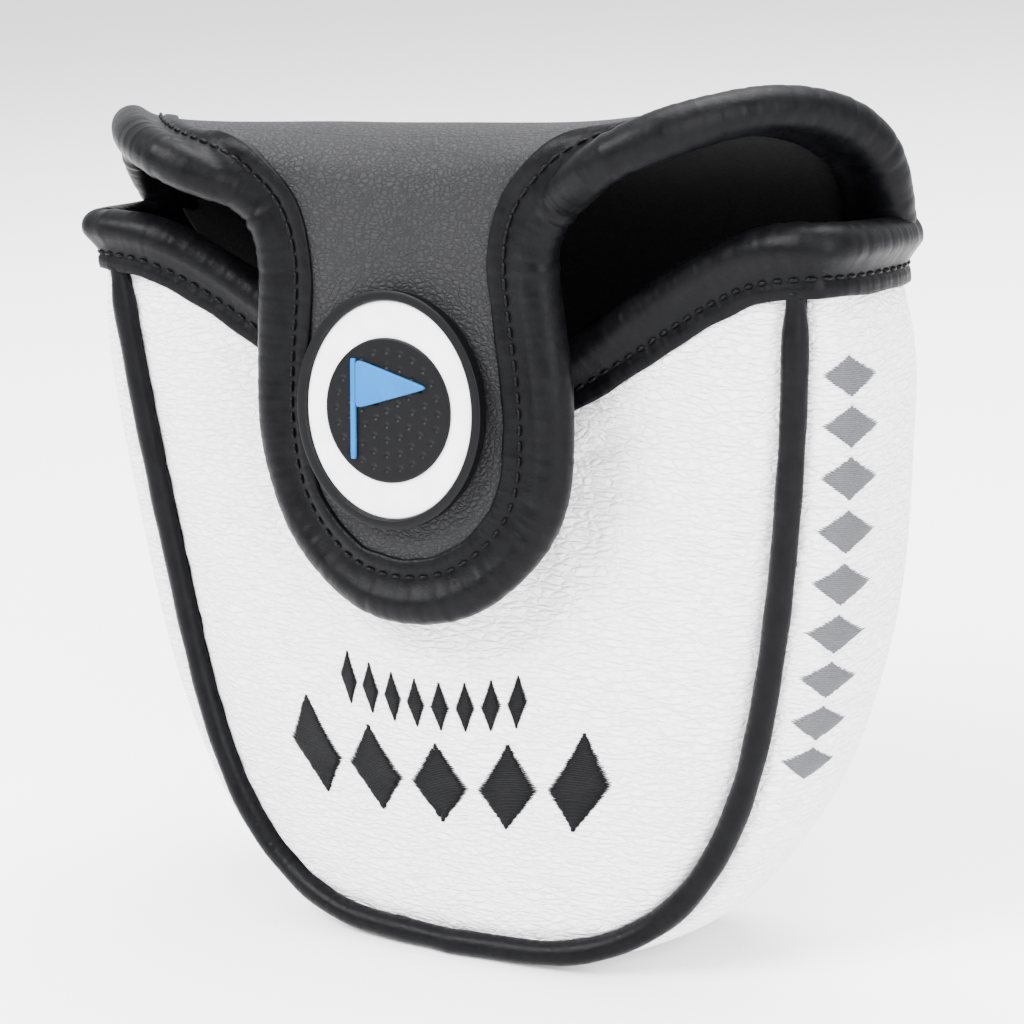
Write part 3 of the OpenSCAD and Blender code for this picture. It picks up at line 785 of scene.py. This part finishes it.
def local_frame(points, ns):
    """Tangent, direction away from the panel and normal at each ring."""
    t = unit(np.gradient(points, axis=0))
    n = unit(ns - t * (ns * t).sum(-1, keepdims=True))
    return t, -np.cross(t, n), n


def smoothed(values, passes):
    for _ in range(passes):
        middle = 0.25 * values[:-2] + 0.5 * values[1:-1] + 0.25 * values[2:]
        values = np.concatenate([values[:1], middle, values[-1:]])
    return values


STRIP_W = 2.9
DITCH_S = -4.3
STRIP_H = 0.75
SECTION_HALF_TURN = 148     # degrees from the roll's middle to the ditch, on each side
SECTION_ROUND = 100         # degrees over which the section is a true circle
SECTION_POINTS = 38


def binding_rings(path, seed):
    """Rings of the binding's closed section, and the line of its stitch ditch."""
    points, ns, heights = path
    t, a, n = local_frame(points, ns)
    s = run_length(points)
    bend = smoothed(np.gradient(t, axis=0) / np.gradient(s)[:, None], 12)
    strength = np.clip(np.linalg.norm(bend, axis=-1) * 2 * BINDING_R, 0, 1)
    angle = np.radians(np.linspace(SECTION_HALF_TURN, -SECTION_HALF_TURN, SECTION_POINTS))
    lift = smooth((np.abs(np.degrees(angle)) - SECTION_ROUND) / (SECTION_HALF_TURN - SECTION_ROUND))
    top = np.degrees(angle) > 0
    outer_h = heights[:, None]
    inner_h = heights[:, None] - WALL_T
    # The roll reaches from the outer ditch round to the inner ditch
    x = BINDING_R * np.cos(angle)[None, :] + 0 * outer_h
    y = BINDING_R * np.sin(angle)[None, :] + 0 * outer_h
    ditch_y = np.where(top[None, :], outer_h + 0.35, inner_h - 0.35)
    x = x + (DITCH_S - x) * (lift**2)[None, :]
    y = y + (ditch_y - y) * (lift**1.3)[None, :]
    fine_wrinkle = ripple(s, seed, (1.3, 2.1, 3.4))[:, None]
    gather = ripple(s, seed + 1, (2.6, 3.7, 5.3), 0.8)[:, None]
    soft = ripple(s, seed + 2, (17.0, 26.0, 41.0))[:, None]
    direction = unit(np.stack([x, y], -1))
    bend_a, bend_n = (bend * a).sum(-1)[:, None], (bend * n).sum(-1)[:, None]
    inside = -(direction[..., 0] * bend_a + direction[..., 1] * bend_n)
    inside = 0.35 + 0.65 * smooth(0.5 - inside * 2 * BINDING_R)
    around = (1 - lift)[None, :]
    push = 0.05 * fine_wrinkle + 0.34 * gather * strength[:, None] * inside + 0.16 * soft
    x = x + direction[..., 0] * push * (0.25 + 0.75 * around)
    y = y + direction[..., 1] * push * (0.25 + 0.75 * around)
    edge_wave = 0.12 * ripple(s, seed + 3, (9.0, 14.0))[:, None]

    def strip(height, sign):
        shares = np.array([0.12, 0.3, 0.55, 0.8, 0.95, 1.0, 1.0])
        rises = np.array([0.5, 0.95, 1.0, 0.95, 0.8, 0.45, -0.6])
        sx = DITCH_S - 0.1 - shares[None, :] * (STRIP_W + edge_wave)
        sy = height + sign * (STRIP_H * rises[None, :] + 0.06 * fine_wrinkle)
        return sx, sy

    ox, oy = strip(outer_h, 1)
    ix, iy = strip(inner_h, -1)
    x = np.concatenate([ox[:, ::-1], x, ix], 1)[..., None]
    y = np.concatenate([oy[:, ::-1], y, iy], 1)[..., None]
    rings = points[:, None] + a[:, None] * x + n[:, None] * y
    ditch = points + a * DITCH_S + n * (heights[:, None] + 0.5)
    return rings, ditch, n


STITCH_R = 0.3
STITCH_ARCH = 0.28
STITCH_SINK = 0.22
STITCH_POINTS = 7


def stitches(name, ditch, n, pitch=2.5, length=1.75):
    """A row of single stitches along a ditch, each dipping into the leather at its ends."""
    rows = spread_evenly(ditch, pitch)[:-1]
    step = (rows[1] - rows[0]) * length / pitch
    k = np.linspace(0, 1, STITCH_POINTS)
    places = (rows[:, None] + step * k[None, :]).ravel()
    points = at_rows(ditch, places).reshape(len(rows), STITCH_POINTS, 3)
    up = at_rows(n, places).reshape(len(rows), STITCH_POINTS, 3)
    points = points + up * (STITCH_ARCH * np.sin(np.pi * k) - STITCH_SINK)[None, :, None]
    return strands(name, points, STITCH_R, 8, black_thread)


lip_u = np.array([0.0, 0.12, 0.24, 0.36, 0.48, 0.6, 0.72, 0.84, 0.95])
corner_v = np.array([0.05, 0.16, 0.32, 0.5, 0.68, 0.85])
flap_rows = np.array([
    0.9, 1.6, 2.4, 3.0, 3.7, 4.4, 5.1, 5.8, MID_BRIDGE, 7.3, 8.0, 8.7, 9.4, 10.1,
    10.8, 11.7, 12.7, 13.7, 14.7, 15.7, 16.7, 17.6, 18.35,
])
tip_u = np.array([0.9, 0.45, 0.0])
# The roll's middle against the leather's outer face, along the normal
LIP_LIFT = -0.8
CORNER_LIFT = -0.4
FLAP_LIFT = -WALL_T / 2
OVER_PIPING = 1.1           # extra height where the binding crosses the front piping
ones = np.ones_like


def control_rows(frame_rows, height):
    return np.concatenate([*frame_rows, np.full((len(frame_rows[0]), 1), height)], -1)


# Control rows down the right side, from the middle of the lip to the strap's tip.
# Each row is a point, a normal and the height of the leather above the roll's middle.
lip_frame = edge_frame(front, lip_u, ones(lip_u), 1, True, LIP_LIFT)
lip_rows = control_rows(lip_frame, -LIP_LIFT)
corner_frame = edge_frame(gusset, ones(corner_v), corner_v, -1, False, CORNER_LIFT)
corner_rows = control_rows(corner_frame, -CORNER_LIFT)
flap_frame = edge_frame(flap_surface, ones(flap_rows), flap_rows, -1, False, FLAP_LIFT, FLAP_LAST)
edge_rows = control_rows(flap_frame, -FLAP_LIFT)
tip_frame = edge_frame(flap_surface, tip_u, 0 * tip_u + FLAP_LAST, -1, True, FLAP_LIFT, FLAP_LAST)
tip_rows = control_rows(tip_frame, -FLAP_LIFT)
lip_rows[-1, 6] += OVER_PIPING
corner_rows[0, 6] += OVER_PIPING
right_half = np.concatenate([lip_rows, corner_rows, edge_rows, tip_rows])
left_half = (right_half * np.array([-1, 1, 1, -1, 1, 1, 1]))[-2:0:-1]
loop = np.concatenate([right_half, left_half])
EAR_CONTROL = len(lip_rows) + 3
MID_CONTROL = len(lip_rows) + len(corner_rows) + int(np.argmax(flap_rows == MID_BRIDGE))

# The binding is one loop round the mouth and the flap, in even rings
OVERLAP = 4                 # control rows repeated before the loop, so that its curve closes
wrapped = np.concatenate([loop[-OVERLAP:], loop, loop[:OVERLAP + 1]])
count = len(loop)
t = (OVERLAP + np.linspace(0, count, 8000)) / (len(wrapped) - 1)
dense = curve(wrapped, t)
length = run_length(dense[:, :3])
ring_count = fine(1300)
ring_s = np.linspace(0, length[-1], ring_count + 1)[:-1]
rows = np.interp(ring_s, length, np.arange(len(dense)))
loop_path = at_rows(dense, rows)


def ring_at(control):
    """Number of the ring at a control row."""
    along = np.interp(control / count * (len(dense) - 1), np.arange(len(dense)), length)
    return int(round(along / length[-1] * ring_count))


PAD_RINGS = 60
padded_path = np.concatenate([loop_path[-PAD_RINGS:], loop_path, loop_path[:PAD_RINGS]])
padded_parts = (padded_path[:, :3], unit(padded_path[:, 3:6]), padded_path[:, 6])
loop_rings, loop_ditch, loop_n = (
    part[PAD_RINGS:-PAD_RINGS] for part in binding_rings(padded_parts, 20)
)

ear_join, strap_join = ring_at(EAR_CONTROL), ring_at(MID_CONTROL)


def lip_part(values):
    return np.concatenate([values[ring_count - ear_join:], values[:ear_join + 1]])


def right_part(values):
    return values[ear_join:strap_join + 1]


def strap_part(values):
    return values[strap_join:ring_count - strap_join + 1]


def left_part(values):
    return values[ring_count - strap_join:ring_count - ear_join + 1]


def bound_edge(name, part):
    """One part of the binding and its row of stitches."""
    roll = sweep(f"{name}_binding_roll", part(loop_rings), black_leather, capped=False)
    return roll, stitches(f"{name}_binding_stitches", part(loop_ditch), part(loop_n))


lip_binding, lip_stitches = bound_edge("lip", lip_part)
right_binding, right_stitches = bound_edge("right_ear", right_part)
left_binding, left_stitches = bound_edge("left_ear", left_part)
strap_binding, strap_stitches = bound_edge("strap", strap_part)

# ---- Piping ----


def piping(name, seam, seed, end, end_share):
    path = seam(np.linspace(-end, end, fine(620)))
    s = run_length(path)
    sides = 20
    angle = full_turn(sides)
    crimp = ripple(s, seed, (0.9, 1.4, 2.2))[:, None] * (0.6 + 0.4 * np.cos(angle + seed))[None, :]
    slow = ripple(s, seed + 1, (11.0, 19.0))[:, None]
    ends = np.minimum(smooth((s - 1) / 6), smooth((s[-1] - s - 1) / 6))[:, None]
    radius = PIPING_R * (end_share + (1 - end_share) * ends) + 0.055 * crimp + 0.08 * slow
    return sweep(name, round_rings(path, radius, sides, (0, -1, 0)), black_leather)


front_piping = piping("front_piping_cover", front_seam, 60, 0.986, 0.72)
back_piping = piping("back_piping_cover", back_seam, 70, 1.0, 1.0)

# ---- Embroidery: satin lozenges ----


def satin(name, skin, side, places, du, dv, pitch, height, material_, across_v=False):
    """Lozenges of parallel threads.

    Each thread crosses its lozenge from edge to edge and crowns in the middle.
    """
    rings, paths = 9, []
    k = np.linspace(-1, 1, rings)
    random = np.random.default_rng(len(places) + 80)
    for u0, v0 in places:
        corner = skin(np.array([u0 + du, u0 - du, u0, u0]), np.array([v0, v0, v0 + dv, v0 - dv]))
        first, last = (0, 1) if across_v else (2, 3)
        extent = np.linalg.norm(corner[first] - corner[last])
        count = max(int(extent / pitch), 6)
        for row in np.linspace(-0.96, 0.96, count):
            half = 1 - abs(row) + random.uniform(-0.03, 0.03)
            if across_v:
                u, v = u0 + du * row + 0 * k, v0 + dv * half * k
            else:
                u, v = u0 + du * half * k, v0 + dv * row + 0 * k
            crown = height * np.sqrt(np.clip(1 - k**2, 0, 1)) * (0.35 + 0.65 * half)
            n = surface_normal(skin, u, v, side)
            paths.append(skin(u, v) + n * (crown - 0.06)[:, None])
    return strands(name, np.array(paths), 0.62 * pitch, 6, material_)


SATIN_PITCH = 0.3
small_places = [(u, 0.637) for u in np.linspace(-0.3, 0.28, 8)]
large_places = [(u, 0.475) for u in np.linspace(-0.49, 0.5, 5)]
side_places = [(0.92 - 0.04 * i, 0.25) for i in range(9)]
small_embroidery = satin(
    "small_satin", front_skin, 1, small_places, 0.034, 0.042, SATIN_PITCH, 0.45, black_thread
)
large_embroidery = satin(
    "large_satin", front_skin, 1, large_places, 0.112, 0.095, SATIN_PITCH, 0.6, black_thread
)
side_embroidery = satin(
    "side_satin", gusset_skin, -1, side_places, 0.016, 0.17, SATIN_PITCH, 0.45, grey_thread, True
)

# ---- Badge ----

BADGE_GAP = 0.75
BADGE_RX, BADGE_RY = 17.0, 19.0
RIM_W = 1.7
BADGE_T = 2.5
FIELD_TOP = 1.8
BADGE_SIDE_SHIFT = -1.1     # in the photo the badge sits a little left of the strap's middle
badge_row = FRONT_FOLD + 0.62 * (FLAP_LAST - FRONT_FOLD) + 0.014
zero = np.zeros(1)
badge_out = surface_normal(flap_surface, zero, zero + badge_row, -1, 0.01, 0, FLAP_LAST)[0]
badge_origin = flap_surface(zero, zero + badge_row)[0] + badge_out * BADGE_GAP
badge_origin = badge_origin + np.array([BADGE_SIDE_SHIFT, 0, 0])
badge_right = np.array([1.0, 0, 0])
badge_up = np.cross(badge_out, badge_right)


def on_badge(points):
    """Points of the badge's own frame (right, up, out) in the part's frame."""
    points = np.asarray(points, float)
    in_plane = badge_origin + points[..., :1] * badge_right + points[..., 1:2] * badge_up
    return in_plane + points[..., 2:] * badge_out


def turned(name, section, rx, ry, material_, sides=128, relief=None):
    """A closed oval piece.

    section is rows of (inset from the rim, height) in mm, from under its middle to over it.
    """
    angle = full_turn(sides)
    rings = []
    for inset, height in section:
        x, y = (rx - inset) * np.cos(angle), (ry - inset) * np.sin(angle)
        ring = np.stack([x, y, 0 * angle + height], -1)
        if relief is not None:
            ring = relief(ring)
        rings.append(ring)
    return sweep(name, on_badge(np.array(rings)), material_)


def rounded(points, steps=5, share=0.35):
    """A polyline of (inset, height) with its inner corners rounded."""
    points = np.asarray(points, float)
    made = [points[0]]
    for before, at, after in zip(points[:-2], points[1:-1], points[2:]):
        size = min(np.linalg.norm(before - at), np.linalg.norm(after - at)) * share
        p = at + unit(before - at) * size
        q = at + unit(after - at) * size
        for k in np.linspace(0, 1, steps):
            made.append((1 - k) ** 2 * p + 2 * k * (1 - k) * at + k**2 * q)
    made.append(points[-1])
    return made


rim_section = rounded([
    (BADGE_RX - 0.2, -0.4), (0.1, -0.4), (0.0, BADGE_T - 0.1), (0.55, BADGE_T),
    (RIM_W - 0.25, BADGE_T), (RIM_W, BADGE_T - 0.3), (RIM_W, 0.9), (BADGE_RX - 0.2, 0.9),
])
badge_base = turned("badge_rim", rim_section, BADGE_RX, BADGE_RY, badge_black)
FIELD_RX, FIELD_RY = BADGE_RX - RIM_W - 0.02, BADGE_RY - RIM_W - 0.02
field_section = rounded([
    (FIELD_RX - 0.2, 0.9), (0.05, 0.9), (0.0, FIELD_TOP - 0.1), (0.25, FIELD_TOP),
    (FIELD_RX - 0.2, FIELD_TOP),
])
badge_field = turned("badge_white_field", field_section, FIELD_RX, FIELD_RY, badge_white)

BALL_R = 11.5
DIMPLE_R = 0.66
DIMPLE_DEPTH = 0.22
DIMPLE_PITCH = 2.35
dimples = []
for ring in range(1, 5):
    for k in range(6 * ring):
        turn = 2 * math.pi * (k + 0.5 * (ring % 2)) / (6 * ring)
        dimples.append((DIMPLE_PITCH * ring * math.cos(turn), DIMPLE_PITCH * ring * math.sin(turn)))
dimples = np.array([(0.0, 0.0)] + dimples)


def dimpled(ring):
    away = np.hypot(ring[:, None, 0] - dimples[:, 0], ring[:, None, 1] - dimples[:, 1]).min(1)
    ring = ring.copy()
    ring[:, 2] -= DIMPLE_DEPTH * (1 - smooth(away / DIMPLE_R)) * (ring[:, 2] > FIELD_TOP + 0.2)
    return ring


ball_section = [
    (BALL_R - 0.2, FIELD_TOP - 0.05), (0.05, FIELD_TOP - 0.05),
    (0.0, FIELD_TOP + 0.3), (0.12, FIELD_TOP + 0.45),
]
ball_section += [(inset, FIELD_TOP + 0.5) for inset in np.linspace(0.35, BALL_R - 0.1, fine(64))]
badge_ball = turned(
    "badge_golf_ball", ball_section, BALL_R, BALL_R, badge_black, 4 * fine(64), dimpled
)


def bevelled_plate(name, outline, low, high, bevel, material_):
    """A flat plate with a rounded upper edge. outline runs anticlockwise, in mm."""
    outline = np.asarray(outline, float)
    dense = []
    for p, q in zip(outline, np.roll(outline, -1, 0)):
        for k in np.linspace(0, 1, 14)[:-1]:
            dense.append(p + (q - p) * k)
    dense = np.array(dense)
    for _ in range(2):
        dense = 0.25 * np.roll(dense, 1, 0) + 0.5 * dense + 0.25 * np.roll(dense, -1, 0)
    centre = dense.mean(0)
    tangent = unit(np.roll(dense, -1, 0) - np.roll(dense, 1, 0))
    inward = np.stack([-tangent[:, 1], tangent[:, 0]], -1)
    levels = [(0.0, low), (0.0, high - bevel), (0.3 * bevel, high - 0.3 * bevel), (bevel, high)]
    rings = [
        np.concatenate([dense + inward * inset, np.full((len(dense), 1), z)], 1)
        for inset, z in levels
    ]
    for share in (0.6, 0.3):
        flat = centre + (dense + inward * bevel - centre) * share
        rings.append(np.concatenate([flat, np.full((len(dense), 1), high)], 1))
    return sweep(name, on_badge(np.array(rings)), material_)


FLAG_LOW, FLAG_HIGH = FIELD_TOP + 0.42, FIELD_TOP + 1.1
PENNANT = [(-5.6, 0.0), (8.0, 4.0), (-5.6, 8.0)]
STAFF = [(-6.5, -8.0), (-5.6, -8.0), (-5.6, 8.0), (-6.5, 8.0)]
badge_flag = bevelled_plate("badge_pennant", PENNANT, FLAG_LOW, FLAG_HIGH, 0.22, badge_blue)
badge_staff = bevelled_plate("badge_staff", STAFF, FLAG_LOW, FLAG_HIGH, 0.16, badge_blue)

# ---- What each piece rides on, replaces and is made of ----

for piece, slot in (
    (front_pad, "white_leather"), (front_lining, "plush"),
    (gusset_pad, "white_leather"), (gusset_lining, "plush"),
    (front_piping, "black_leather"), (back_piping, "black_leather"),
    (small_embroidery, "black_thread"), (large_embroidery, "black_thread"),
    (side_embroidery, "grey_thread"),
    (lip_binding, "black_leather"), (lip_stitches, "black_thread"),
):
    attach(piece, "pocket")
for piece, slot in (
    (badge_base, "badge_black"), (badge_field, "badge_white"), (badge_ball, "badge_black"),
    (badge_flag, "badge_blue"), (badge_staff, "badge_blue"),
):
    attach(piece, "tongue")
for piece, slot in (
    (rear_pad, "grey_leather"), (rear_lining, "plush"), (right_binding, "black_leather"),
    (right_stitches, "black_thread"), (left_binding, "black_leather"), (left_stitches, "black_thread"),
):
    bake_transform(piece)
for piece, slot in (
    (strap_pad, "grey_leather"), (strap_lining, "plush"), (strap_binding, "black_leather"),
    (strap_stitches, "black_thread"),
):
    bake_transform(piece)

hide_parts("front_panel", "front_foam")
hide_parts("front_lining")
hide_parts("gusset_panel", "gusset_foam")
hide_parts("gusset_lining")
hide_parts("back_panel", "back_foam", "bridge_panel", "bridge_foam")
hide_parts("back_lining", "bridge_lining")
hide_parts("tongue_panel", "tongue_foam")
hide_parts("tongue_lining")
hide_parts("front_piping", "front_piping_cord")
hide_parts("back_piping", "back_piping_cord")
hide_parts("mouth_binding", "mouth_binding_core")
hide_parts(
    "ear_bindings", "ear_binding_cores", "bridge_bindings", "bridge_binding_cores"
)
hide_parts("mouth_stitching")
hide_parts("bridge_stitching")
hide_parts("tongue_binding", "tongue_binding_core")
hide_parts("tongue_stitching")
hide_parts("small_embroidery")
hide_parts("large_embroidery")
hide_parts("side_embroidery")
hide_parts("badge_base")
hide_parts("badge_field")
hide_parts("badge_ball")
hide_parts("badge_flag")

for node in ("pocket_magnet", "flap_magnet"):
    for material_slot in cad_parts[node].material_slots:
        material_slot.material = magnet_steel

# ---- Floor, light and camera ----

floor_material = material("floor", (0.93, 0.93, 0.93), 0.9)[0]
bpy.ops.mesh.primitive_plane_add(size=12, location=(0, 0, 0))
floor = bpy.context.object
floor.name = "floor"
floor.data.materials.append(floor_material)


def softbox(name, position, target, size, power):
    """A rectangular area light, aimed at target. Lengths in metres, power in watts."""
    light = bpy.data.lights.new(name, "AREA")
    light.shape = "RECTANGLE"
    light.size, light.size_y = size
    light.energy = power
    obj = bpy.data.objects.new(name, light)
    obj.location = position
    aim = Vector(target) - Vector(position)
    obj.rotation_euler = aim.to_track_quat("-Z", "Y").to_euler()
    bpy.context.scene.collection.objects.link(obj)


centre = (0, 0, 0.07)
softbox("key", (-0.5, -0.8, 1.0), centre, (0.6, 0.6), 52.0)
softbox("fill", (0.95, -0.6, 0.5), centre, (0.6, 0.8), 26.0)
softbox("top", (0.1, 0.3, 1.2), centre, (1.0, 0.9), 50.0)

world = bpy.data.worlds.new("studio")
bpy.context.scene.world = world
world.use_nodes = True
world.node_tree.nodes["Background"].inputs["Color"].default_value = (0.98, 0.985, 1, 1)
world.node_tree.nodes["Background"].inputs["Strength"].default_value = 1.9

CAMERA_TURN = math.radians(30)
CAMERA_DOWN = math.radians(15.7)
CAMERA_ROLL = math.radians(-3.5)
CAMERA_DISTANCE = 0.3811
CAMERA_SHIFT_RIGHT, CAMERA_SHIFT_UP = 0.02064, 0.01939
SENSOR_MM = 36
LENS_MM = 84.16
LOOK_AT = Vector((0, -0.02826, 0.05951))
forward = Vector((
    -math.sin(CAMERA_TURN) * math.cos(CAMERA_DOWN),
    math.cos(CAMERA_TURN) * math.cos(CAMERA_DOWN),
    -math.sin(CAMERA_DOWN),
))
right = Vector((math.cos(CAMERA_TURN), math.sin(CAMERA_TURN), 0))
up = right.cross(forward)
position = LOOK_AT - forward * CAMERA_DISTANCE + right * CAMERA_SHIFT_RIGHT + up * CAMERA_SHIFT_UP
rolled_right = right * math.cos(CAMERA_ROLL) + up * math.sin(CAMERA_ROLL)
rolled_up = up * math.cos(CAMERA_ROLL) - right * math.sin(CAMERA_ROLL)
camera_data = bpy.data.cameras.new("camera")
camera_data.sensor_width = SENSOR_MM
camera_data.lens = LENS_MM
camera = bpy.data.objects.new("camera", camera_data)
turn = Matrix((rolled_right, rolled_up, -forward)).transposed().to_4x4()
camera.matrix_world = Matrix.Translation(position) @ turn
bpy.context.scene.collection.objects.link(camera)
bpy.context.scene.camera = camera
